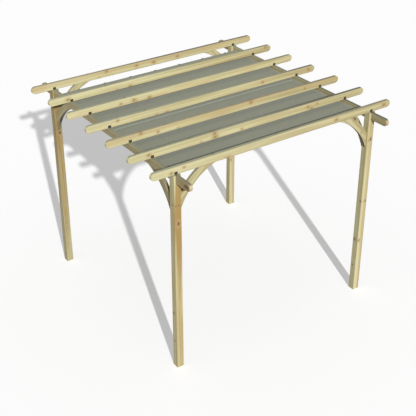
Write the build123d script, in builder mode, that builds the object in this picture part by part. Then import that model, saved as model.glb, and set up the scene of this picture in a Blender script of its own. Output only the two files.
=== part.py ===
"""Wooden pergola with four posts, two side beams, seven rafters, curved braces and a fabric canopy.

Millimetres, +Z up. The origin is on the ground at the middle of the footprint.
Rafters run along X, beams along Y, and the front is the -Y side.
"""
import os

from build123d import *

# Driving dimensions
TIMBER_LENGTH = 3600.0        # rafters and beams, end to end
TIMBER_WIDTH = 45.0           # planed timber, across
TIMBER_DEPTH = 95.0           # planed timber, upright
POST_SIZE = 95.0              # square section
POST_HEIGHT = 2705.0          # ground to the underside of the rafters
POST_SPACING = 2955.0         # centre to centre, both ways
POST_ROUNDING = 6.0           # rounded long edges of the posts
EDGE_CHAMFER = 2.5            # cut off the long edges of the other timbers
RAFTER_COUNT = 7
NOTCH_DEPTH = 36.0            # housing in the underside of each rafter
SEAT_LENGTH = 35.0            # seat block, set back from both faces of its rafter

# Curved braces, cut as a band of constant width between two arcs
BRACE_REACH = 488.0           # along each leg, from the inner corner
BRACE_WIDTH = 95.0
BRACE_RADIUS = 820.0          # hollow underside

# Canopy and its poles
POLE_DIAMETER = 28.0
POLE_DROP = 6.0               # pole axes, below the middle of the beams
HEM_POLE_OFFSET = 1354.0      # hem poles, from the pole in the middle
CANOPY_THICKNESS = 3.0
CANOPY_CURVE = 24000.0        # radius of its slight sag between poles
CANOPY_SIDE_GAP = 5.0         # between the fabric and each beam

# Sizes that follow
HALF_SPACING = POST_SPACING / 2
RAFTER_PITCH = POST_SPACING / (RAFTER_COUNT - 1)
RAFTER_MIDDLE = POST_HEIGHT + TIMBER_DEPTH / 2
BEAM_BOTTOM = POST_HEIGHT - TIMBER_DEPTH
BEAM_MIDDLE = BEAM_BOTTOM + TIMBER_DEPTH / 2
POST_INNER = HALF_SPACING - POST_SIZE / 2
BEAM_INNER = HALF_SPACING - TIMBER_WIDTH / 2
POLE_RADIUS = POLE_DIAMETER / 2
POLE_AXIS = BEAM_MIDDLE - POLE_DROP

SIDES = {"left": -1, "right": 1}
ENDS = {"front": -1, "back": 1}


def save(name, piece):
    """Label a finished piece and write its file."""
    piece.label = name
    export_step(piece, f"parts/{name}.step")


def make_posts():
    """Square posts with a forked head: the slot takes the beam, the prongs carry the end rafter."""
    for end, toward_back in ENDS.items():
        for side, toward_right in SIDES.items():
            x, y = toward_right * HALF_SPACING, toward_back * HALF_SPACING
            with BuildPart() as post:
                with BuildSketch(Plane.XY):
                    with Locations((x, y)):
                        RectangleRounded(POST_SIZE, POST_SIZE, POST_ROUNDING)
                extrude(amount=POST_HEIGHT)
                with BuildSketch(Plane.XY.offset(BEAM_BOTTOM)):
                    with Locations((x, y)):
                        Rectangle(TIMBER_WIDTH, 2 * POST_SIZE)
                extrude(amount=TIMBER_DEPTH, mode=Mode.SUBTRACT)
            save(f"post_{end}_{side}", post.part)


def make_beams():
    """Side beams with round-nosed ends, lying in the post heads."""
    for side, toward_right in SIDES.items():
        outer_face = Plane.YZ.offset(toward_right * HALF_SPACING - TIMBER_WIDTH / 2)
        with BuildPart() as beam:
            with BuildSketch(outer_face):
                with Locations((0, BEAM_MIDDLE)):
                    SlotOverall(TIMBER_LENGTH, TIMBER_DEPTH)
            extrude(amount=TIMBER_WIDTH)
            sides = beam.faces().filter_by(Axis.X)
            chamfer(sides.edges(), EDGE_CHAMFER)
        save(f"beam_{side}", beam.part)


def make_rafters():
    """Rafters with round-nosed ends, housed over the seats on both beams, numbered from the front."""
    for number in range(RAFTER_COUNT):
        y = (number - (RAFTER_COUNT - 1) / 2) * RAFTER_PITCH
        back_face = Plane.XZ.offset(-y - TIMBER_WIDTH / 2)
        with BuildPart() as rafter:
            with BuildSketch(back_face):
                with Locations((0, RAFTER_MIDDLE)):
                    SlotOverall(TIMBER_LENGTH, TIMBER_DEPTH)
            extrude(amount=TIMBER_WIDTH)
            sides = rafter.faces().filter_by(Axis.Y)
            chamfer(sides.edges(), EDGE_CHAMFER)
            with BuildSketch(back_face):
                with Locations((-HALF_SPACING, POST_HEIGHT), (HALF_SPACING, POST_HEIGHT)):
                    Rectangle(TIMBER_WIDTH, 2 * NOTCH_DEPTH)
            extrude(amount=TIMBER_WIDTH, mode=Mode.SUBTRACT)
        save(f"rafter_{number + 1}", rafter.part)


def make_rafter_seats():
    """Seat blocks on top of each beam, one under each rafter, filling its housing."""
    for side, toward_right in SIDES.items():
        with BuildPart() as seats:
            with BuildSketch(Plane.XY.offset(POST_HEIGHT)):
                with Locations((toward_right * HALF_SPACING, 0)):
                    with GridLocations(1, RAFTER_PITCH, 1, RAFTER_COUNT):
                        Rectangle(TIMBER_WIDTH, SEAT_LENGTH)
            extrude(amount=NOTCH_DEPTH)
        save(f"rafter_seats_{side}", seats.part)


def draw_brace():
    """Curved brace in its own frame: a band of constant width between two arcs, with chamfered edges.

    The corner between post and timber is at the origin. The brace fills +X, -Y and -Z of it, and
    ends flat on the post and flat under the timber above. Both arcs share one centre on the diagonal.
    """
    half_diagonal = BRACE_REACH / 2 ** 0.5
    middle_drop = (BRACE_RADIUS ** 2 - half_diagonal ** 2) ** 0.5
    centre = (half_diagonal + middle_drop) / 2 ** 0.5
    section = Plane(origin=(centre, -centre, -TIMBER_WIDTH / 2), x_dir=(-1, 0, 0), z_dir=(0, 1, 0))
    with BuildPart(mode=Mode.PRIVATE) as brace:
        with BuildSketch(section) as band:
            with Locations((BRACE_RADIUS + BRACE_WIDTH / 2, 0)):
                Rectangle(BRACE_WIDTH, TIMBER_WIDTH)
            chamfer(band.vertices(), EDGE_CHAMFER)
        revolve(axis=Axis((centre, -centre, 0), (0, 0, -1)), revolution_arc=90)
        with BuildSketch(Plane.XY):
            Rectangle(2 * BRACE_REACH, 2 * BRACE_REACH, align=(Align.MIN, Align.MAX))
        extrude(amount=-TIMBER_WIDTH, mode=Mode.INTERSECT)
    return brace.part


def make_braces():
    """Two curved braces to a post: one up to the end rafter, one up to the beam."""
    brace = draw_brace()
    half = TIMBER_WIDTH / 2
    for end, toward_back in ENDS.items():
        for side, toward_right in SIDES.items():
            x, y = toward_right * HALF_SPACING, toward_back * HALF_SPACING
            under_rafter = Plane(
                origin=(toward_right * POST_INNER, y + toward_right * half, POST_HEIGHT),
                x_dir=(-toward_right, 0, 0),
                z_dir=(0, toward_right, 0),
            )
            with BuildPart(under_rafter) as rafter_brace:
                add(brace)
            save(f"rafter_brace_{end}_{side}", rafter_brace.part)
            under_beam = Plane(
                origin=(x - toward_back * half, toward_back * POST_INNER, BEAM_BOTTOM),
                x_dir=(0, -toward_back, 0),
                z_dir=(-toward_back, 0, 0),
            )
            with BuildPart(under_beam) as beam_brace:
                add(brace)
            save(f"beam_brace_{end}_{side}", beam_brace.part)


def make_canopy_poles():
    """Round poles between the beams, in the hems and the middle pocket of the canopy."""
    for place, y in {"front": -HEM_POLE_OFFSET, "middle": 0, "back": HEM_POLE_OFFSET}.items():
        with BuildPart() as pole:
            with BuildSketch(Plane.YZ.offset(-BEAM_INNER)):
                with Locations((y, POLE_AXIS)):
                    Circle(POLE_RADIUS)
            extrude(amount=2 * BEAM_INNER)
        save(f"canopy_pole_{place}", pole.part)


def draw_canopy_surface(rise):
    """One surface of the fabric, at a rise above the poles' surface.

    It arches over the middle pole, hangs in a shallow curve to each hem pole, and turns down round it.
    The curve starts at the foot of the arch and touches the hem pole's top from above.
    """
    radius = POLE_RADIUS + rise
    foot = (radius ** 2 - rise ** 2) ** 0.5
    span = HEM_POLE_OFFSET - POLE_RADIUS
    lowest = POLE_RADIUS + (span ** 2 - 2 * CANOPY_CURVE * POLE_RADIUS - POLE_RADIUS ** 2) / (2 * span)
    centre_height = (CANOPY_CURVE ** 2 - (lowest - POLE_RADIUS) ** 2) ** 0.5
    touch_share = radius / (CANOPY_CURVE + POLE_RADIUS)
    touch = HEM_POLE_OFFSET - (HEM_POLE_OFFSET - lowest) * touch_share
    touch_height = centre_height * touch_share
    shoulder = radius / 2 ** 0.5
    ThreePointArc((-foot, POLE_AXIS + rise), (0, POLE_AXIS + radius), (foot, POLE_AXIS + rise))
    for way in ENDS.values():
        ThreePointArc(
            (way * foot, POLE_AXIS + rise),
            (way * lowest, POLE_AXIS + centre_height - CANOPY_CURVE + rise),
            (way * touch, POLE_AXIS + touch_height),
        )
        ThreePointArc(
            (way * touch, POLE_AXIS + touch_height),
            (way * (HEM_POLE_OFFSET + shoulder), POLE_AXIS + shoulder),
            (way * (HEM_POLE_OFFSET + radius), POLE_AXIS),
        )


def make_canopy():
    """Fabric sheet drawn over the three poles."""
    half_width = BEAM_INNER - CANOPY_SIDE_GAP
    inner, outer = HEM_POLE_OFFSET + POLE_RADIUS, HEM_POLE_OFFSET + POLE_RADIUS + CANOPY_THICKNESS
    with BuildPart() as canopy:
        with BuildSketch(Plane.YZ.offset(-half_width)):
            with BuildLine():
                draw_canopy_surface(0)
                draw_canopy_surface(CANOPY_THICKNESS)
                for way in ENDS.values():
                    Line((way * inner, POLE_AXIS), (way * outer, POLE_AXIS))
            make_face()
        extrude(amount=2 * half_width)
    save("canopy", canopy.part)


os.makedirs("parts", exist_ok=True)
make_posts()
make_beams()
make_rafters()
make_rafter_seats()
make_braces()
make_canopy_poles()
make_canopy()
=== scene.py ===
import math
from dataclasses import dataclass, replace

import bmesh
import bpy
from mathutils import Euler, Matrix, Vector


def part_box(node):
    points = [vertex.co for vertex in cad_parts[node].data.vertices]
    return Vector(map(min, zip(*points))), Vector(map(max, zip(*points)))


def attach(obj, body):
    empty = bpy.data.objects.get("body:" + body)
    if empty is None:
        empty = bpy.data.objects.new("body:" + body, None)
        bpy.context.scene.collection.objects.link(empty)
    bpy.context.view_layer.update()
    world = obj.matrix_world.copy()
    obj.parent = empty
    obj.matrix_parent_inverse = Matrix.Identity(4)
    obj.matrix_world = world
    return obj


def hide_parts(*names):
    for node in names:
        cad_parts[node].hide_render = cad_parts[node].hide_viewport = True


bl_info = {
    "name": "Wooden Pergola",
    "version": (1, 0, 0),
    "blender": (4, 5, 0),
    "location": "View3D > Sidebar > Pergola",
    "description": "Dresses a timber pergola and its fabric canopy and sets up a plain studio",
    "category": "Object",
}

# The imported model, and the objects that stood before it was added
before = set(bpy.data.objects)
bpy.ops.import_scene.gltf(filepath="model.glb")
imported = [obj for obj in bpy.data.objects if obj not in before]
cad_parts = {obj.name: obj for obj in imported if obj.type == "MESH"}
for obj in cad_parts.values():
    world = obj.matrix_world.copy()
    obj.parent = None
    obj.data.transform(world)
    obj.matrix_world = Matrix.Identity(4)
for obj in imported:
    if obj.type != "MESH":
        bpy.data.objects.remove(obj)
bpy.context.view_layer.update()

BODY = "root"
ENDS = {"front": -1, "back": 1}     # which way each end lies along Y
SIDES = {"left": -1, "right": 1}    # and each side along X


def middle(node):
    """Centre of a CAD node's box."""
    low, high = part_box(node)
    return (Vector(low) + Vector(high)) / 2


def half_size(node, axis):
    """Half the size of a CAD node's box along X, Y or Z, as 0, 1 or 2."""
    low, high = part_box(node)
    return (high[axis] - low[axis]) / 2


# Places and sizes read from the frame
POST_CENTRE = {(end, side): middle(f"post_{end}_{side}") for end in ENDS for side in SIDES}
POST_MIDDLE = POST_CENTRE["front", "left"].z
POST_HALF = half_size("post_front_left", 0)
POST_HALVES = (POST_HALF, POST_HALF)
BOARD_HALVES = tuple(half_size("rafter_1", axis) for axis in (1, 2))    # thickness and depth
POLE_NAMES = [f"canopy_pole_{place}" for place in ("front", "middle", "back")]
POLES = [middle(name) for name in POLE_NAMES]
POLE_RADIUS = half_size(POLE_NAMES[0], 2)
CANOPY_LOW, CANOPY_HIGH = (Vector(corner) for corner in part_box("canopy"))


# Shader building

class Signal:
    """A shader socket that takes part in Python arithmetic."""

    def __init__(self, shader, socket):
        self.shader = shader
        self.socket = socket

    def math(self, operation, *others):
        """A Math node of this number and others."""
        values = dict(enumerate((self, *others)))
        return self.shader.node("ShaderNodeMath", {"operation": operation}, values)

    def vector(self, operation, *others):
        """A Vector Math node of this vector and others."""
        values = dict(enumerate((self, *others)))
        output = 1 if operation in ("LENGTH", "DOT_PRODUCT") else 0
        return self.shader.node("ShaderNodeVectorMath", {"operation": operation}, values, output)

    def __add__(self, other):
        return self.math("ADD", other)

    def __mul__(self, other):
        return self.math("MULTIPLY", other)

    __radd__ = __add__
    __rmul__ = __mul__

    def __sub__(self, other):
        return self.math("SUBTRACT", other)

    def __rsub__(self, other):
        return self * -1 + other

    def between(self, low, high):
        """0 below low, 1 above high, and a smooth step between."""
        return self.shader.node(
            "ShaderNodeMapRange",
            {"interpolation_type": "SMOOTHSTEP"},
            {"Value": self, "From Min": low, "From Max": high},
        )

    def sine(self):
        return self.math("SINE")

    def part(self, name):
        """One coordinate of a vector."""
        return self.shader.node("ShaderNodeSeparateXYZ", {}, {"Vector": self}, name)


class Shader:
    """The node tree of a material or world, built from values and links."""

    def __init__(self, owner):
        self.owner = owner
        owner.use_nodes = True
        self.tree = owner.node_tree
        self.tree.nodes.clear()

    def node(self, kind, settings, sockets, output=0):
        """Add a node: its settings first, then each socket's value or link."""
        made = self.tree.nodes.new(kind)
        for key, value in settings.items():
            setattr(made, key, value)
        for key, value in sockets.items():
            if isinstance(value, Signal):
                self.tree.links.new(value.socket, made.inputs[key])
            else:
                made.inputs[key].default_value = value
        return Signal(self, made.outputs[output])

    def place(self, centre=(0, 0, 0), turn=(0, 0, 0)):
        """Object coordinates in a frame with its own centre and turn."""
        where = self.node("ShaderNodeTexCoord", {}, {}, "Object")
        sockets = {"Vector": where, "Location": centre, "Rotation": turn}
        return self.node("ShaderNodeMapping", {"vector_type": "TEXTURE"}, sockets)

    def noise(self, vector, stretch, detail=2.0, output="Fac"):
        """Noise with so many waves a metre along each axis."""
        stretched = vector.vector("MULTIPLY", stretch)
        sockets = {"Vector": stretched, "Scale": 1.0, "Detail": detail, "Roughness": 0.5}
        return self.node("ShaderNodeTexNoise", {"noise_dimensions": "3D"}, sockets, output)

    def blend(self, factor, first, second, kind="MIX"):
        """Colour between first and second."""
        settings = {"data_type": "RGBA", "blend_type": kind, "clamp_factor": True}
        sockets = {0: factor, 6: first, 7: second}
        return self.node("ShaderNodeMix", settings, sockets, 2)

    def facing(self, direction):
        """How squarely a face looks along a direction, from -1 to 1."""
        normal = self.node("ShaderNodeNewGeometry", {}, {}, "Normal")
        return normal.vector("DOT_PRODUCT", direction)

    def seen(self):
        """1 for what the camera sees, straight, in a reflection or through glass."""
        camera, glossy, clear = (
            self.node("ShaderNodeLightPath", {}, {}, f"Is {ray} Ray")
            for ray in ("Camera", "Glossy", "Transmission")
        )
        return camera.math("MAXIMUM", glossy).math("MAXIMUM", clear)

    def finish(self, sockets, height=None, depth=0.001, strength=0.5):
        """Principled surface with an optional bump, joined to the output."""
        if height is not None:
            values = {"Height": height, "Distance": depth, "Strength": strength}
            sockets = {**sockets, "Normal": self.node("ShaderNodeBump", {}, values)}
        return self.output(self.node("ShaderNodeBsdfPrincipled", {}, sockets))

    def output(self, surface, kind="ShaderNodeOutputMaterial"):
        """Join a surface to the output."""
        target = self.tree.nodes.new(kind)
        self.tree.links.new(surface.socket, target.inputs["Surface"])
        return self.owner


def new_shader(name):
    return Shader(bpy.data.materials.new(name))


def colour(rgb):
    return (*rgb, 1.0)


# Boards

@dataclass
class Board:
    """How one board's wood looks, in its own frame: grain along X, thickness along Y, depth along Z."""
    pith: tuple = (0.03, -0.09)     # middle of the growth rings, across the grain
    lean: float = 0.0               # how far the pith drifts up the depth, a metre further along
    heart: float = 0.10             # radius of the warmer heart round it
    gold: float = 0.20              # how much warmer the heart is
    deepening: float = 0.0          # and how much more so a metre further along it
    warmth: float = 0.0             # how much warmer the whole board is
    slope: float = 0.0              # and how much more so a metre further along it
    streaks: float = 0.50           # strength of the streaks along the grain
    shade: float = 1.0              # brightness of all its colours
    blush: float = 0.25             # strength of its pinkish patches
    knots: tuple = ()               # place along, through and up, radius, and stretch
    knot_depth: float = 0.35        # darkness of the middle of its knots
    lower_arris_shade: float = 0.0          # painted shade along its lower arris
    hollow: float = 0.0             # painted shade in a brace's hollow underside
    top_shade_span: tuple = (1.1, 1.6, 0.0)    # where upward faces get a darker painted shade, from and to, and how much
    nose: tuple = ()                # colour of its ends, where it isn't the usual one


ACROSS = (0.7, 0.25, 1.0)           # stretch of a knot that runs through the thickness
UPRIGHT = (0.7, 1.0, 0.25)          # of one that runs up the depth
SPIKE = (0.45, 0.25, 1.0)           # and of a long one, cut slantwise


def face_knots(*knots):
    """Knots through the thickness of a board, from their places along and up it and their radii."""
    return tuple((along, 0.0, up, radius, ACROSS) for along, up, radius in knots)


def post_knots(*knots):
    """Knots in the front of a post or in its left side, from their heights, places and radii."""
    made = []
    for face, height, across, radius in knots:
        along = height - POST_MIDDLE
        if face == "front":
            made.append((along, -POST_HALF, -across, radius, ACROSS))
        else:
            made.append((along, across, POST_HALF, radius, UPRIGHT))
    return tuple(made)


RAFTER_BOARDS = (
    Board(
        pith=(0.05, -0.10), heart=0.10, warmth=-0.04, slope=0.18, blush=0.15, top_shade_span=(1.1, 1.6, 0.2),
        knots=face_knots(
            (-1.54, -0.018, 0.011), (-1.37, 0.012, 0.009), (-0.755, -0.047, 0.014),
            (0.886, 0.0, 0.014), (1.69, 0.0, 0.017),
        ),
    ),
    Board(
        pith=(-0.02, -0.12), heart=0.09, warmth=0.00, slope=0.10, blush=0.20, top_shade_span=(-0.4, 1.3, 0.92),
        knots=face_knots(
            (-1.525, 0.004, 0.013), (-0.605, 0.026, 0.015), (-0.595, -0.020, 0.019),
            (-0.20, -0.022, 0.009), (0.848, 0.0, 0.013), (0.91, -0.033, 0.015), (0.996, 0.009, 0.010),
        ),
    ),
    Board(
        pith=(0.03, 0.05), heart=0.08, warmth=0.12, slope=0.28, blush=0.50, top_shade_span=(1.1, 1.6, 0.4),
        knots=face_knots(
            (-1.33, 0.030, 0.012), (-1.09, -0.012, 0.010), (0.314, 0.026, 0.017), (1.21, 0.0, 0.012),
        ),
    ),
    Board(
        pith=(0.05, -0.10), heart=0.10, warmth=0.05, slope=0.17, blush=0.20, top_shade_span=(1.0, 1.6, 0.72),
        knots=face_knots(
            (-1.36, 0.020, 0.010), (-0.645, -0.046, 0.012), (0.886, 0.0, 0.013), (1.69, 0.0, 0.016),
        ),
    ),
    Board(
        pith=(0.02, -0.06), heart=0.055, warmth=-0.02, slope=0.13, blush=0.35, top_shade_span=(1.1, 1.6, 0.5),
        knots=face_knots((-0.833, -0.009, 0.014), (-1.03, -0.015, 0.010), (-0.60, -0.026, 0.013)),
    ),
    Board(
        pith=(-0.04, -0.11), heart=0.09, warmth=0.03, slope=0.20, blush=0.10, top_shade_span=(1.1, 1.6, 0.45),
        knots=face_knots((-1.53, -0.007, 0.014), (-0.60, -0.042, 0.015), (1.705, 0.020, 0.014)),
    ),
    Board(
        pith=(0.02, 0.06), heart=0.08, warmth=-0.02, slope=0.14, blush=0.35, top_shade_span=(-0.9, 0.4, 0.85),
        knots=face_knots(
            (-0.68, 0.033, 0.014), (-0.20, 0.009, 0.014),
            (0.083, 0.0, 0.016), (0.486, 0.0, 0.014),
        ),
    ),
)
BEAM_BOARDS = {
    "left": Board(
        pith=(0.03, -0.07), heart=0.09, warmth=-0.14, slope=-0.14, shade=0.73, knot_depth=0.75,
        knots=((-1.735, 0.0, 0.0, 0.021, SPIKE),),
    ),
    "right": Board(
        pith=(-0.03, -0.08), heart=0.09, warmth=-0.09, slope=-0.08, shade=0.72,
        knots=face_knots((0.62, 0.01, 0.013)), top_shade_span=(1.6, -1.6, 0.75), nose=(0.66, 0.43, 0.22),
    ),
}
POST_BOARDS = {
    ("front", "left"): Board(
        pith=(-0.10, -0.010), lean=-0.035, heart=0.080, gold=0.64, deepening=0.22, warmth=-0.18,
        blush=0.10, knot_depth=0.70,
        knots=post_knots(("front", 2.08, 0.0045, 0.016), ("left", 0.81, 0.014, 0.010)),
    ),
    ("back", "left"): Board(
        pith=(-0.10, -0.010), lean=-0.035, heart=0.080, gold=0.27, deepening=0.30, warmth=0.08,
        slope=0.15, shade=0.80, blush=0.10, knot_depth=0.70,
        knots=post_knots(("front", 2.08, 0.009, 0.016)),
    ),
    ("front", "right"): Board(
        pith=(-0.03, -0.075), heart=0.075, gold=0.55, warmth=-0.32, slope=0.08, blush=0.10,
        knot_depth=0.60,
        knots=post_knots(
            ("front", 2.335, 0.010, 0.013),
            ("front", 0.81, -0.0255, 0.010), ("left", 0.81, 0.015, 0.012),
            ("front", 1.42, 0.020, 0.010), ("left", 1.42, -0.027, 0.009),
        ),
    ),
    ("back", "right"): Board(
        pith=(-0.03, -0.075), heart=0.065, gold=0.35, warmth=-0.12, blush=0.10,
        knots=post_knots(("front", 0.81, -0.024, 0.010)),
    ),
}
# braces carry painted shade in their hollow
BRACE_BOARD = Board(
    pith=(0.02, -0.05), heart=0.07, warmth=0.06, shade=0.95, streaks=0.70, blush=0.40, hollow=0.6,
)
BRACE_BOARDS = {
    "beam_brace_front_left": replace(BRACE_BOARD, warmth=0.30, shade=0.75),
    "beam_brace_back_left": replace(BRACE_BOARD, warmth=-0.02, shade=0.80),
    "rafter_brace_front_right": replace(
        BRACE_BOARD, knots=face_knots((-0.141, 0.158, 0.014), (0.112, 0.0995, 0.008)),
    ),
}


# Wood

RING_TURN = math.tau / 0.0042       # growth rings are 4.2 mm apart
RING_UNEVENNESS = 0.006
RING_BULGE = 0.004                  # of the rings round a knot
PITH_WANDER = 0.09
HEART_EDGE = 0.016                  # softness of the edge of the heart
HALO_REACH = (0.9, 3.8)             # pinkish wood round a knot, in radii of the knot
CORE_REACH = (0.75, 1.15)           # and its dark middle
KNOT_RAGGEDNESS = 0.8
STREWN_KNOTS = 9.0                  # cells a metre, a few of which hold a small knot
STREWN_KNOT_RADII = 14.0            # radii of such a knot in the width of a cell
STREWN_CHANCE = (0.80, 0.95)        # cells above this hold one, out of 1
NO_KNOT = 9.0                       # a distance at which nothing of a knot shows
WORN_EDGE = 0.005                   # width of the wear along long edges
ARRIS_SHADE_WIDTH = 0.006                 # width of the painted shade along the foot of a rafter
RAFTER_ARRIS_SHADE = 0.75             # and how dark it is
PATTERN_SHIFT = 3.0                 # moves a board's pattern by its own place, so that no two match
HOLLOW_SHADE_TONE = (0.07, 0.05, 0.022)   # painted shade in the hollow underside of the braces
PAINTED_SHADE_TONE = (0.10, 0.09, 0.07)      # darkest painted shade, of upward faces and lower arrises

# Waves a metre along, through and up a board
WANDER_WAVES = (0.6, 0.0, 0.0)      # of the pith
RING_WAVES = (2.0, 20.0, 20.0)
STREAK_WAVES = (0.9, 34.0, 34.0)
FIBRE_WAVES = (9.0, 240.0, 240.0)
PATCH_WAVES = (1.7, 9.0, 9.0)
RAGGED_WAVES = (70.0, 120.0, 120.0)     # of knot rims and worn edges


def knot_distance(shader, local, board, ragged):
    """Distance to the nearest knot of a board, where 1 is its rim, with small ones strewn between."""
    cells = {"voronoi_dimensions": "3D", "feature": "F1"}
    stretched = local.vector("MULTIPLY", (0.7, 1.0, 1.0))
    spread = {"Vector": stretched, "Scale": STREWN_KNOTS, "Randomness": 1.0}
    tint = shader.node("ShaderNodeTexVoronoi", cells, spread, "Color")
    chance = shader.node("ShaderNodeSeparateColor", {}, {"Color": tint}, 0)
    nearest = shader.node("ShaderNodeTexVoronoi", cells, spread, "Distance") * STREWN_KNOT_RADII
    nearest = nearest + (1 - chance.between(*STREWN_CHANCE)) * NO_KNOT
    for along, through, up, radius, stretch in board.knots:
        away = local.vector("SUBTRACT", (along, through, up))
        scaled = away.vector("MULTIPLY", tuple(part / radius for part in stretch))
        nearest = nearest.math("MINIMUM", scaled.vector("LENGTH"))
    return nearest + ragged * KNOT_RAGGEDNESS


def pine(name, centre, turn, board, tones, halves=None):
    """Planed pine of one board.

    Growth rings stand round a pith that wanders along the board, and the heart inside them is warmer.
    Streaks, fibres, pinkish patches and knots lie over them. Ends show the rings darker. The long edges,
    at half the board's thickness and depth, are a little worn. Painted shade darkens a brace's hollow
    and a rafter's lower arris, and upward faces carry a darker, bluer painted shade.
    """
    *wood_tones, end_grain, top_shade_tint = tones
    pale, warm, blush, knot = (colour([board.shade * part for part in tone]) for tone in wood_tones)
    shader = new_shader(name)
    local = shader.place(centre, turn)
    turned = Euler(turn).to_matrix()
    along = local.part("X")
    moved = local.vector("ADD", tuple(PATTERN_SHIFT * part for part in centre))

    # knots
    ragged = shader.noise(moved, RAGGED_WAVES) - 0.5
    near = knot_distance(shader, local, board, ragged)
    halo = 1 - near.between(*HALO_REACH)
    core = 1 - near.between(*CORE_REACH)

    # growth rings round the pith
    wander = shader.noise(moved, WANDER_WAVES, 1.0, "Color").vector("SUBTRACT", (0.5, 0.5, 0.5))
    bent = wander.vector("MULTIPLY", (0.0, PITH_WANDER, PITH_WANDER)).vector("ADD", local)
    drift = shader.node("ShaderNodeCombineXYZ", {}, {"Z": along * board.lean})
    centred = bent.vector("SUBTRACT", (0.0, *board.pith)).vector("SUBTRACT", drift)
    spoke = centred.vector("MULTIPLY", (0.0, 1.0, 1.0))
    radius = spoke.vector("LENGTH") + shader.noise(moved, RING_WAVES, 1.0) * RING_UNEVENNESS
    heart = 1 - radius.between(board.heart - HEART_EDGE, board.heart + HEART_EDGE)
    growth = ((radius + halo * RING_BULGE) * RING_TURN).sine().between(-0.2, 1.0)

    # the wood itself
    streak = shader.noise(moved, STREAK_WAVES).between(0.34, 0.66)
    fibre = shader.noise(moved, FIBRE_WAVES)
    patch = shader.noise(moved, PATCH_WAVES).between(0.50, 0.66)
    tone = streak * board.streaks + heart * (along * board.deepening + board.gold)
    tone = tone + growth * 0.14 + fibre * 0.10 + along * board.slope + board.warmth
    wood = shader.blend(tone, pale, warm)
    wood = shader.blend((patch + heart) * board.blush + halo * 0.6, wood, blush)
    wood = shader.blend(halo * halo * 0.25 + core * board.knot_depth, wood, knot)

    # ends, painted shade in hollows and along lower arrises, and worn edges
    ends = shader.facing(turned @ Vector((1, 0, 0))).math("ABSOLUTE").between(0.45, 0.95)
    wood = shader.blend(ends * (growth * 0.3 + 0.6), wood, colour(board.nose or end_grain))
    # painted shade in a brace's hollow, darker on its upper part than near its foot
    if board.hollow:
        hollow = shader.facing(turned @ Vector((0, 0, -1))).between(0.6, 0.85)
        darkness = along.between(-0.26, -0.12) * (0.95 - board.hollow) + board.hollow
        wood = shader.blend(hollow * darkness, wood, colour(HOLLOW_SHADE_TONE))
    if halves is not None:
        reach = local.vector("ABSOLUTE")
        sideways, upwards = (
            reach.part(axis).between(half - WORN_EDGE, half) for axis, half in zip("YZ", halves)
        )
        wood = shader.blend(sideways * upwards * ragged.between(-0.2, 0.3) * 0.5, wood, pale)
    # painted shade along the lower arris
    if board.lower_arris_shade:
        foot = -halves[1]
        low = 1 - local.part("Z").between(foot, foot + ARRIS_SHADE_WIDTH)
        wood = shader.blend(low * board.lower_arris_shade, wood, colour(PAINTED_SHADE_TONE))

    # painted shade on upward faces
    upward = shader.facing((0, 0, 1)).between(0.6, 0.9)
    wood = shader.blend(upward, wood, colour(top_shade_tint), "MULTIPLY")
    # painted shade: upward faces grow darker over this span along the board
    start, end, top_shade_amount = board.top_shade_span
    wood = shader.blend(upward * along.between(start, end) * top_shade_amount, wood, colour(PAINTED_SHADE_TONE))

    rough = growth * 0.08 + ends * 0.1 + 0.60
    height = growth * 0.4 + fibre * 0.5 + core * 0.6
    return shader.finish({"Base Color": wood, "Roughness": rough}, height, 0.0008, 0.35)


def dark_wood(tone):
    """Dark seat blocks with a faint grain."""
    shader = new_shader("seat_block_wood")
    grain = shader.noise(shader.place(), (90.0, 12.0, 90.0), 3.0)
    wood = shader.blend(grain * 0.5, colour(tone), colour([2.2 * part for part in tone]))
    return shader.finish({"Base Color": wood, "Roughness": grain * 0.1 + 0.6}, grain, 0.0006, 0.3)


THREAD_TURN = 2600.0                # radians a metre, which makes threads 2.4 mm apart
STITCH_TURN = 1800.0                # and stitches 3.5 mm long
SLUB_ANGLE = math.radians(38)
SIDE_HEM = 0.025                    # width of the cloth's side hems


def woven_fabric(name, tone):
    """Grey-green woven canopy cloth with a slight slub, and a line of stitching along its side hems."""
    shader = new_shader(name)
    where = shader.place()
    warp, weft = ((where.part(axis) * THREAD_TURN).sine() for axis in "XY")
    weave = warp * weft * 0.5 + 0.5
    slub = shader.noise(shader.place(turn=(0, 0, SLUB_ANGLE)), (4.0, 60.0, 4.0), 3.0)
    cloud = shader.noise(where, (1.6, 1.6, 1.6))
    inward = CANOPY_HIGH.x - where.part("X").math("ABSOLUTE")
    seam = 1 - (inward - SIDE_HEM).math("ABSOLUTE").between(0.0008, 0.0022)
    stitch = seam * (where.part("Y") * STITCH_TURN).sine().between(-0.4, 0.2)
    doubled = 1 - inward.between(SIDE_HEM, SIDE_HEM + 0.001)
    dark, light, thread = (colour([share * part for part in tone]) for share in (0.86, 1.14, 0.5))
    cloth = shader.blend(slub * 0.55 + cloud * 0.3 + weave * 0.15 - doubled * 0.25, dark, light)
    cloth = shader.blend(stitch * 0.6, cloth, thread)
    sockets = {"Base Color": cloth, "Roughness": weave * 0.06 + 0.82, "Sheen Weight": 0.15}
    return shader.finish(sockets, weave * 0.5 + doubled * 0.5 - seam * 0.5, 0.0008, 0.4)


def brushed_tube(name, tone):
    """Satin metal of the canopy poles."""
    shader = new_shader(name)
    streak = shader.noise(shader.place(), (6.0, 400.0, 400.0))
    metal = shader.blend(streak, colour([0.9 * part for part in tone]), colour(tone))
    sockets = {"Base Color": metal, "Roughness": streak * 0.12 + 0.32, "Metallic": 0.9}
    return shader.finish(sockets)


def moulded_plastic(name, tone):
    """Dark moulded clips."""
    shader = new_shader(name)
    grain = shader.noise(shader.place(), (900.0, 900.0, 900.0))
    sockets = {"Base Color": colour(tone), "Roughness": grain * 0.1 + 0.45}
    return shader.finish(sockets, grain, 0.0001, 0.3)


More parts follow.
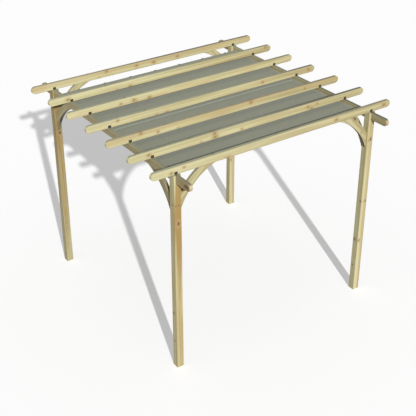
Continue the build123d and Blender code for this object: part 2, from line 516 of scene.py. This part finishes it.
def galvanised(name, tone):
    """Plated screw heads in a near-black tone, which also holds painted shade round each head."""
    shader = new_shader(name)
    patch = shader.noise(shader.place(), (500.0, 500.0, 500.0))
    metal = shader.blend(patch, colour([0.7 * part for part in tone]), colour(tone))
    return shader.finish({"Base Color": metal, "Roughness": patch * 0.2 + 0.45, "Metallic": 0.4})


# Settings that a user would change

class PergolaTimberSettings(bpy.types.PropertyGroup):
    pale: bpy.props.FloatVectorProperty(
        name="Pale wood", description="Lighter tone of the planed pine",
        subtype="COLOR", size=3, min=0, max=1, default=(0.66, 0.61, 0.35),
    )
    warm: bpy.props.FloatVectorProperty(
        name="Warm wood", description="Darker tone of the planed pine",
        subtype="COLOR", size=3, min=0, max=1, default=(0.40, 0.33, 0.157),
    )
    post_pale: bpy.props.FloatVectorProperty(
        name="Pale post", description="Lighter bands of the posts",
        subtype="COLOR", size=3, min=0, max=1, default=(0.66, 0.61, 0.35),
    )
    post_warm: bpy.props.FloatVectorProperty(
        name="Warm post", description="Golden bands of the posts",
        subtype="COLOR", size=3, min=0, max=1, default=(0.37, 0.24, 0.072),
    )
    blush: bpy.props.FloatVectorProperty(
        name="Blush", description="Pinkish patches and the wood round knots",
        subtype="COLOR", size=3, min=0, max=1, default=(0.56, 0.415, 0.205),
    )
    knot: bpy.props.FloatVectorProperty(
        name="Knots", description="Colour of the knots",
        subtype="COLOR", size=3, min=0, max=1, default=(0.16, 0.09, 0.022),
    )
    end_grain: bpy.props.FloatVectorProperty(
        name="End grain", description="Colour of the cut ends",
        subtype="COLOR", size=3, min=0, max=1, default=(0.66, 0.62, 0.36),
    )
    # painted shade: the darker, bluer tint of upward faces
    top_shade_tint: bpy.props.FloatVectorProperty(
        name="Painted top shade", description="Tint of upward faces",
        subtype="COLOR", size=3, min=0, max=1, default=(0.61, 0.68, 0.82),
    )
    seat: bpy.props.FloatVectorProperty(
        name="Seat blocks", description="Colour of the dark blocks under the rafters",
        subtype="COLOR", size=3, min=0, max=1, default=(0.030, 0.024, 0.016),
    )
    # near black: the metal's own tone and painted shade round each head
    screw: bpy.props.FloatVectorProperty(
        name="Screws", description="Colour of the screw heads",
        subtype="COLOR", size=3, min=0, max=1, default=(0.03, 0.027, 0.022),
    )
    screw_head: bpy.props.FloatProperty(
        name="Screw head", description="Diameter of the screw heads",
        subtype="DISTANCE", unit="LENGTH", min=0.004, max=0.02, default=0.015,
    )


class PergolaCanopySettings(bpy.types.PropertyGroup):
    cloth: bpy.props.FloatVectorProperty(
        name="Cloth", description="Colour of the canopy",
        subtype="COLOR", size=3, min=0, max=1, default=(0.245, 0.261, 0.204),
    )
    tube: bpy.props.FloatVectorProperty(
        name="Poles", description="Colour of the canopy poles",
        subtype="COLOR", size=3, min=0, max=1, default=(0.50, 0.50, 0.48),
    )
    clip: bpy.props.FloatVectorProperty(
        name="Clips", description="Colour of the hem clips",
        subtype="COLOR", size=3, min=0, max=1, default=(0.10, 0.11, 0.09),
    )
    thickness: bpy.props.FloatProperty(
        name="Thickness", description="Thickness of the cloth",
        subtype="DISTANCE", unit="LENGTH", min=0.0005, max=0.004, default=0.0012,
    )
    sag: bpy.props.FloatProperty(
        name="Sag", description="How far the cloth hangs below the line between two poles",
        subtype="DISTANCE", unit="LENGTH", min=0, max=0.03, default=0.0038,
    )
    hem: bpy.props.FloatProperty(
        name="Hem", description="Cloth turned back from each pole to its seam",
        subtype="DISTANCE", unit="LENGTH", min=0.02, max=0.1, default=0.05,
    )
    clip_middle: bpy.props.FloatProperty(
        name="Middle clip", description="Place of the middle clip along the pole",
        subtype="DISTANCE", unit="LENGTH", default=0.045,
    )
    clip_width: bpy.props.FloatProperty(
        name="Clip width", description="Length of a clip along its pole",
        subtype="DISTANCE", unit="LENGTH", min=0.01, max=0.1, default=0.030,
    )
    clip_height: bpy.props.FloatProperty(
        name="Clip thickness", description="How far a clip stands off the cloth",
        subtype="DISTANCE", unit="LENGTH", min=0.001, max=0.01, default=0.005,
    )
    clip_pitch: bpy.props.FloatProperty(
        name="Clip spacing", description="Distance between hem clips",
        subtype="DISTANCE", unit="LENGTH", min=0.1, max=1.0, default=0.405,
    )
    clips_each_way: bpy.props.IntProperty(
        name="Clips each way", description="Hem clips on each side of the middle one",
        min=0, max=6, default=3,
    )


class PergolaStudioSettings(bpy.types.PropertyGroup):
    sun: bpy.props.FloatProperty(
        name="Sun", description="Strength of the sun lamp", min=0, max=20, default=3.35,
    )
    sky: bpy.props.FloatProperty(
        name="Sky", description="Strength of the world light", min=0, max=5, default=0.268,
    )
    floor_glow: bpy.props.FloatProperty(
        name="Floor glow", description="Light added to the floor that the camera sees",
        min=0, max=1, default=0.30,
    )


# Timbers

def dress(node, material):
    """Give a CAD node a finished material."""
    node_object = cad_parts[node]
    node_object.data.materials.clear()
    node_object.data.materials.append(material)


def finish_board(node, turn, board, tones, halves=None):
    """Dress a timber in its own pine, with the pattern about its middle."""
    dress(node, pine(f"{node}_pine", tuple(middle(node)), turn, board, tones, halves))


def finish_brace(node, turn, tones):
    """Dress a brace, with the pattern along the line between its two ends."""
    finish_board(node, turn, BRACE_BOARDS.get(node, BRACE_BOARD), tones)


class PERGOLA_OT_timbers(bpy.types.Operator):
    """Finish posts, beams, rafters, braces and seat blocks"""
    bl_idname = "pergola.timbers"
    bl_label = "Timbers"

    def execute(self, context):
        timber = context.scene.pergola_timber
        shared = (timber.blush, timber.knot, timber.end_grain, timber.top_shade_tint)
        tones = (timber.pale, timber.warm, *shared)
        post_tones = (timber.post_pale, timber.post_warm, *shared)
        quarter, eighth = math.pi / 2, math.pi / 4
        for number, board in enumerate(RAFTER_BOARDS, 1):
            # every rafter gets painted shade along its lower arris
            arris_shaded = replace(board, lower_arris_shade=RAFTER_ARRIS_SHADE)
            finish_board(f"rafter_{number}", (0, 0, 0), arris_shaded, tones, BOARD_HALVES)
        for side, toward_right in SIDES.items():
            finish_board(f"beam_{side}", (0, 0, quarter), BEAM_BOARDS[side], tones, BOARD_HALVES)
            for end, toward_back in ENDS.items():
                corner, board = f"{end}_{side}", POST_BOARDS[end, side]
                finish_board(f"post_{corner}", (0, -quarter, 0), board, post_tones, POST_HALVES)
                finish_brace(f"rafter_brace_{corner}", (0, toward_right * eighth, 0), tones)
                finish_brace(f"beam_brace_{corner}", (0, -eighth, -toward_back * quarter), tones)
        seat_wood = dark_wood(timber.seat)
        for side in SIDES:
            dress(f"rafter_seats_{side}", seat_wood)
        return {"FINISHED"}


# Added pieces

def make_object(name, mesh_source, material):
    """Turn a bmesh into a piece that rides on the frame."""
    mesh = bpy.data.meshes.new(name)
    mesh_source.to_mesh(mesh)
    mesh_source.free()
    mesh.materials.append(material)
    piece = bpy.data.objects.new(name, mesh)
    bpy.context.collection.objects.link(piece)
    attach(piece, BODY)
    return piece


SCREW_HEIGHT = 2.32
SCREW_PLACES = {0: (-0.016, 0.016), 1: (-0.027, 0.012)}     # across the faces that look along X and Y
SCREW_RISE = 0.001


def add_screw(mesh_source, spot, facing, radius):
    """A low domed head with a hollow for the driver, standing 1 mm proud."""
    lift = facing * SCREW_RISE
    turn = facing.to_track_quat("Z", "Y").to_matrix().to_4x4()
    made = bmesh.ops.create_circle(
        mesh_source, cap_ends=True, segments=16, radius=radius,
        matrix=Matrix.Translation(spot) @ turn,
    )
    rim = made["verts"][0].link_faces[0]
    lifted = bmesh.ops.extrude_discrete_faces(mesh_source, faces=[rim])["faces"][0]
    bmesh.ops.translate(mesh_source, vec=lift, verts=lifted.verts)
    bmesh.ops.scale(
        mesh_source, vec=(0.8, 0.8, 0.8), verts=lifted.verts,
        space=Matrix.Translation(-(spot + lift)),
    )
    bmesh.ops.inset_region(mesh_source, faces=[lifted], thickness=radius * 0.45)
    bmesh.ops.translate(mesh_source, vec=lift * -0.8, verts=lifted.verts)


class PERGOLA_OT_screws(bpy.types.Operator):
    """Add the screw heads that hold the feet of the braces, through each post"""
    bl_idname = "pergola.screws"
    bl_label = "Screws"

    def execute(self, context):
        timber = context.scene.pergola_timber
        heads = bmesh.new()
        for (end, side), centre in POST_CENTRE.items():
            for axis, sign in ((0, SIDES[side]), (1, ENDS[end])):
                facing = Vector((0, 0, 0))
                facing[axis] = sign
                for across in SCREW_PLACES[axis]:
                    spot = Vector((centre.x, centre.y, SCREW_HEIGHT)) + facing * POST_HALF
                    spot[1 - axis] += across
                    add_screw(heads, spot, facing, timber.screw_head / 2)
        make_object("brace_screws", heads, galvanised("screw_zinc", timber.screw))
        return {"FINISHED"}


HEM_ANGLES = (92.0, -122.0)         # where the cloth meets and leaves the back hem pole, in degrees
POCKET_ANGLES = (215.0, 325.0)      # and where the pocket's strip meets and leaves the middle pole
POLE_GAP = 0.0003                   # between a pole and the cloth round it
SEAM_GAP = 0.0008                   # between the two layers at a seam
RUN_STEPS = 8                       # divisions of the cloth from a pole to its seam
CLOTH_COLUMNS = 90
POCKET_COLUMNS = 60


def round_pole(pole, reach, start, finish, steps):
    """Points on an arc about a pole, in the YZ plane, from one angle to another in degrees."""
    points = []
    for step in range(steps + 1):
        angle = math.radians(start + (finish - start) * step / steps)
        points.append((pole.y + reach * math.cos(angle), pole.z + reach * math.sin(angle)))
    return points


def hanging_span(start, finish, sag, count=44):
    """Points of the cloth between two places, on a shallow curve, closer together near both."""
    points = []
    for step in range(1, count):
        part = (1 - math.cos(math.pi * step / count)) / 2
        level = start[1] + (finish[1] - start[1]) * part
        drop = sag * (1 - (2 * part - 1) ** 2)
        points.append((start[0] + (finish[0] - start[0]) * part, level - drop))
    return points


def canopy_profile(reach, thickness, sag, allowance):
    """Middle surface of the cloth in the YZ plane, from the front hem's seam to the back one's.

    The cloth turns round each hem pole and back to its own underside, and arches over the middle pole.
    """
    _, centre, back = POLES
    half_arch = round_pole(centre, reach, 90, 0, 9)
    hem = round_pole(back, reach, *HEM_ANGLES, 26)
    span = hanging_span(half_arch[-1], hem[0], sag)
    seam = (back.y - allowance, back.z + reach - thickness - SEAM_GAP)
    return_run = hanging_span(hem[-1], seam, 0.0, RUN_STEPS) + [seam]
    back_half = half_arch + span + hem + return_run
    return mirrored(back_half[1:], centre.y) + back_half


def pocket_profile(pole, reach, thickness, allowance):
    """Middle surface of the strip that closes the middle pocket under its pole."""
    low = round_pole(pole, reach, *POCKET_ANGLES, 14)
    seam = (pole.y + allowance, pole.z - thickness - SEAM_GAP)
    run = hanging_span(low[-1], seam, 0.0, RUN_STEPS) + [seam]
    return mirrored(run, pole.y) + low + run


def mirrored(points, middle_y):
    """Points in the YZ plane, mirrored about a place on Y, in the opposite order."""
    return [(2 * middle_y - y, z) for y, z in reversed(points)]


def weave_across(profile, left, right, columns):
    """Sheet swept along X from a profile in the YZ plane, its faces looking away from the poles."""
    sheet = bmesh.new()
    row = [sheet.verts.new((left, y, z)) for y, z in profile]
    edges = [sheet.edges.new(pair) for pair in zip(row, row[1:])]
    step = (right - left) / columns
    for _ in range(columns):
        made = bmesh.ops.extrude_edge_only(sheet, edges=edges)["geom"]
        moved = [part for part in made if isinstance(part, bmesh.types.BMVert)]
        edges = [part for part in made if isinstance(part, bmesh.types.BMEdge)]
        bmesh.ops.translate(sheet, vec=(step, 0, 0), verts=moved)
    bmesh.ops.recalc_face_normals(sheet, faces=sheet.faces)
    for face in sheet.faces:
        face.smooth = True
    return sheet


def thicken(piece, thickness):
    """Give a sheet its thickness, half to each side."""
    modifier = piece.modifiers.new("thickness", "SOLIDIFY")
    modifier.thickness = thickness
    modifier.offset = 0


def ripple(place):
    """Small waves of the cloth, none near the poles and more towards the open side edges."""
    wave_height, edge_height = 0.0006, 0.0012
    gap = min(abs(place.y - pole.y) for pole in POLES)
    slack = min(1.0, max(0.0, gap - 0.08) / 0.3)
    open_edge = (abs(place.x) / CANOPY_HIGH.x) ** 8
    wave = math.sin(place.x * 4.1 + place.y * 2.3) + 0.6 * math.sin(place.x * 7.7 - place.y * 3.1)
    return slack * (wave_height * wave + edge_height * open_edge * math.sin(place.y * 19.0))


class PERGOLA_OT_canopy(bpy.types.Operator):
    """Make the fabric canopy with its hems and middle pocket, and finish its poles"""
    bl_idname = "pergola.canopy"
    bl_label = "Canopy"

    def execute(self, context):
        canopy = context.scene.pergola_canopy
        cloth = woven_fabric("canopy_cloth", canopy.cloth)
        left, right = CANOPY_LOW.x, CANOPY_HIGH.x
        reach = POLE_RADIUS + canopy.thickness / 2 + POLE_GAP
        profile = canopy_profile(reach, canopy.thickness, canopy.sag, canopy.hem)
        sheet = weave_across(profile, left, right, CLOTH_COLUMNS)
        for vert in sheet.verts:
            vert.co.z += ripple(vert.co)
        piece = make_object("canopy_cloth", sheet, cloth)
        thicken(piece, canopy.thickness)
        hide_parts("canopy")
        strip_profile = pocket_profile(POLES[1], reach, canopy.thickness, canopy.hem)
        strip_sheet = weave_across(strip_profile, left, right, POCKET_COLUMNS)
        strip = make_object("middle_pocket", strip_sheet, cloth)
        thicken(strip, canopy.thickness)
        tube = brushed_tube("pole_tube", canopy.tube)
        for name in POLE_NAMES:
            dress(name, tube)
        return {"FINISHED"}


CLIP_GAP = 0.0008                   # between a clip and the cloth under it
CLIP_ARC = math.radians(205)        # how far a clip reaches round its pole
CLIP_ROUNDING = 0.0008


class PERGOLA_OT_clips(bpy.types.Operator):
    """Add the clips that hold the cloth on the hem poles"""
    bl_idname = "pergola.clips"
    bl_label = "Hem clips"

    def execute(self, context):
        canopy = context.scene.pergola_canopy
        clips = bmesh.new()
        inner = POLE_RADIUS + canopy.thickness + CLIP_GAP
        outer = inner + canopy.clip_height
        half = canopy.clip_width / 2
        for pole, way in zip(POLES[::2], ENDS.values()):
            for number in range(-canopy.clips_each_way, canopy.clips_each_way + 1):
                x = canopy.clip_middle + number * canopy.clip_pitch
                band = [(x - half, inner), (x + half, inner), (x + half, outer), (x - half, outer)]
                verts = [clips.verts.new((across, pole.y, pole.z + out)) for across, out in band]
                face = clips.faces.new(verts)
                bmesh.ops.spin(
                    clips, geom=[face], cent=pole, axis=(1, 0, 0), angle=-way * CLIP_ARC, steps=16,
                )
        bmesh.ops.recalc_face_normals(clips, faces=clips.faces)
        rims = [edge for edge in clips.edges if edge.calc_face_angle(0) > 1.0]
        bmesh.ops.bevel(
            clips, geom=rims, offset=CLIP_ROUNDING, affect="EDGES", segments=2, profile=0.5,
            material=-1,
        )
        make_object("hem_clips", clips, moulded_plastic("clip_plastic", canopy.clip))
        return {"FINISHED"}


# Studio

CAMERA_PLACE = (-6.3622, -9.0975, 7.4888)
CAMERA_AZIMUTH = math.radians(-34.98)
CAMERA_ELEVATION = math.radians(30.0)
CAMERA_LENS = 79.75
CAMERA_SENSOR = 36.0
SUN_TOWARD = (-0.31, -0.834, 0.455)     # where the sun stands
SUN_SPREAD = math.radians(0.9)
FLOOR_REACH = 60.0
FLOOR_LEVEL = -0.0005               # just under the feet of the posts
FLOOR_SEEN = 0.90                   # its brightness to the camera
FLOOR_BOUNCE = 0.18                 # and in the light that it throws back
WHITE = (1, 1, 1, 1)


def add_floor(glow):
    """Level white floor. The camera sees it brighter than the light that it bounces."""
    floor_mesh = bmesh.new()
    bmesh.ops.create_grid(floor_mesh, x_segments=1, y_segments=1, size=FLOOR_REACH)
    mesh = bpy.data.meshes.new("studio_floor")
    floor_mesh.to_mesh(mesh)
    floor_mesh.free()
    floor = bpy.data.objects.new("studio_floor", mesh)
    floor.location.z = FLOOR_LEVEL
    bpy.context.collection.objects.link(floor)
    shader = new_shader("studio_white")
    bright = shader.node("ShaderNodeBsdfDiffuse", {}, {"Color": colour((FLOOR_SEEN,) * 3)})
    dull = shader.node("ShaderNodeBsdfDiffuse", {}, {"Color": colour((FLOOR_BOUNCE,) * 3)})
    light = shader.node("ShaderNodeEmission", {}, {"Color": WHITE, "Strength": glow})
    lit = shader.node("ShaderNodeAddShader", {}, {0: bright, 1: light})
    surface = shader.node("ShaderNodeMixShader", {}, {0: shader.seen(), 1: dull, 2: lit})
    mesh.materials.append(shader.output(surface))


def add_lights(sun_strength, sky_strength):
    """One sun, and an even sky that the camera sees as white."""
    lamp = bpy.data.lights.new("studio_sun", "SUN")
    lamp.energy = sun_strength
    lamp.angle = SUN_SPREAD
    sun = bpy.data.objects.new("studio_sun", lamp)
    sun.rotation_euler = Vector(SUN_TOWARD).to_track_quat("Z", "Y").to_euler()
    bpy.context.collection.objects.link(sun)
    shader = Shader(bpy.data.worlds.new("studio_sky"))
    strength = shader.seen() * (1 - sky_strength) + sky_strength
    sky = shader.node("ShaderNodeBackground", {}, {"Color": WHITE, "Strength": strength})
    bpy.context.scene.world = shader.output(sky, "ShaderNodeOutputWorld")


def add_camera():
    """Camera above the front left corner, looking down."""
    data = bpy.data.cameras.new("studio_camera")
    data.sensor_width = CAMERA_SENSOR
    data.lens = CAMERA_LENS
    camera = bpy.data.objects.new("studio_camera", data)
    camera.location = CAMERA_PLACE
    level = math.cos(CAMERA_ELEVATION)
    back = Vector((
        math.sin(CAMERA_AZIMUTH) * level,
        -math.cos(CAMERA_AZIMUTH) * level,
        math.sin(CAMERA_ELEVATION),
    ))
    camera.rotation_euler = (-back).to_track_quat("-Z", "Y").to_euler()
    bpy.context.collection.objects.link(camera)
    bpy.context.scene.camera = camera


class PERGOLA_OT_stage(bpy.types.Operator):
    """Set up the floor, the lights and the camera"""
    bl_idname = "pergola.stage"
    bl_label = "Studio"

    def execute(self, context):
        studio = context.scene.pergola_studio
        add_floor(studio.floor_glow)
        add_lights(studio.sun, studio.sky)
        add_camera()
        context.scene.view_settings.view_transform = "Standard"
        return {"FINISHED"}


class PERGOLA_PT_panel(bpy.types.Panel):
    """Shows the pergola's settings and the buttons that build it"""
    bl_idname = "PERGOLA_PT_panel"
    bl_label = "Pergola"
    bl_space_type = "VIEW_3D"
    bl_region_type = "UI"
    bl_category = "Pergola"

    def draw(self, context):
        for setting in GROUPS:
            group = getattr(context.scene, setting)
            box = self.layout.box()
            for name in group.bl_rna.properties.keys():
                if name not in ("rna_type", "name"):
                    box.prop(group, name)
        for operator in OPERATORS:
            self.layout.operator(operator.bl_idname)


OPERATORS = (
    PERGOLA_OT_stage,
    PERGOLA_OT_timbers,
    PERGOLA_OT_screws,
    PERGOLA_OT_canopy,
    PERGOLA_OT_clips,
)
GROUPS = {
    "pergola_timber": PergolaTimberSettings,
    "pergola_canopy": PergolaCanopySettings,
    "pergola_studio": PergolaStudioSettings,
}


def register():
    for group in (*GROUPS.values(), *OPERATORS, PERGOLA_PT_panel):
        bpy.utils.register_class(group)
    for name, group in GROUPS.items():
        setattr(bpy.types.Scene, name, bpy.props.PointerProperty(type=group))


def unregister():
    for name in GROUPS:
        delattr(bpy.types.Scene, name)
    for group in reversed((*GROUPS.values(), *OPERATORS, PERGOLA_PT_panel)):
        bpy.utils.unregister_class(group)


def main():
    register()
    bpy.ops.pergola.stage()
    bpy.ops.pergola.timbers()
    bpy.ops.pergola.screws()
    bpy.ops.pergola.canopy()
    bpy.ops.pergola.clips()


if __name__ == "__main__":
    main()
